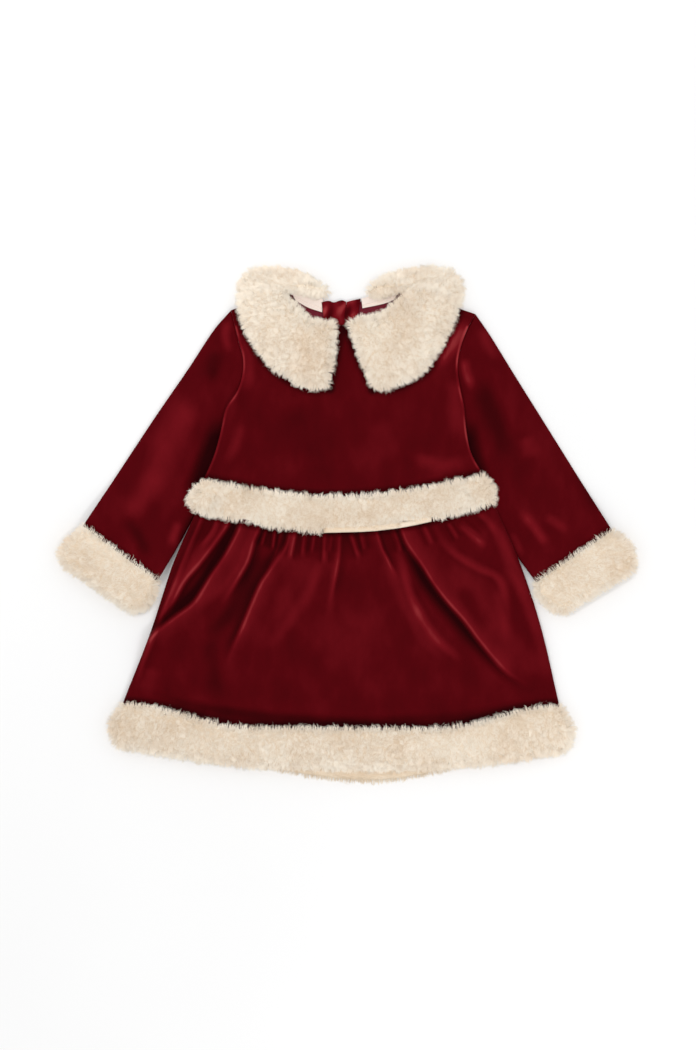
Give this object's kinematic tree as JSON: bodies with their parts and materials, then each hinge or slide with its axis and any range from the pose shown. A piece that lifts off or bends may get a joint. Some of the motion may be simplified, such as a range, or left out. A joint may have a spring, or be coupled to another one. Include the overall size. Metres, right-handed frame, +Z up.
{
  "type": "toddler party dress",
  "caption": "Toddler's long-sleeved velvet party dress with a plush round collar, waist band, cuffs and hem band, laid flat.",
  "frame": {"origin": "on the ground under the middle of the laid dress", "axes": "+X to the right across the sleeves, +Y from the hem to the collar, +Z up"},
  "size_m": [0.5762, 0.513, 0.0183],
  "materials": {
    "velvet": "dark red cotton velvet with a soft sheen",
    "velvet_inside": "matte knitted back of the velvet",
    "plush": "cream long-pile plush",
    "tape": "smooth cream woven tape"
  },
  "bodies": {
    "root": {"bodice_front": "velvet", "bodice_back_left": "velvet_inside", "bodice_back_right": "velvet_inside", "placket_left": "velvet", "placket_right": "velvet", "neck_tape_left": "tape", "neck_tape_right": "tape", "skirt_front": "velvet", "skirt_back": "velvet", "sleeve_left": "velvet", "sleeve_right": "velvet", "cuff_left": "plush", "cuff_right": "plush", "collar_left": "plush", "collar_right": "plush", "waist_trim_front": "plush", "waist_trim_back": "plush", "hem_trim_front": "plush", "hem_trim_back": "plush"}
  },
  "joints": []
}
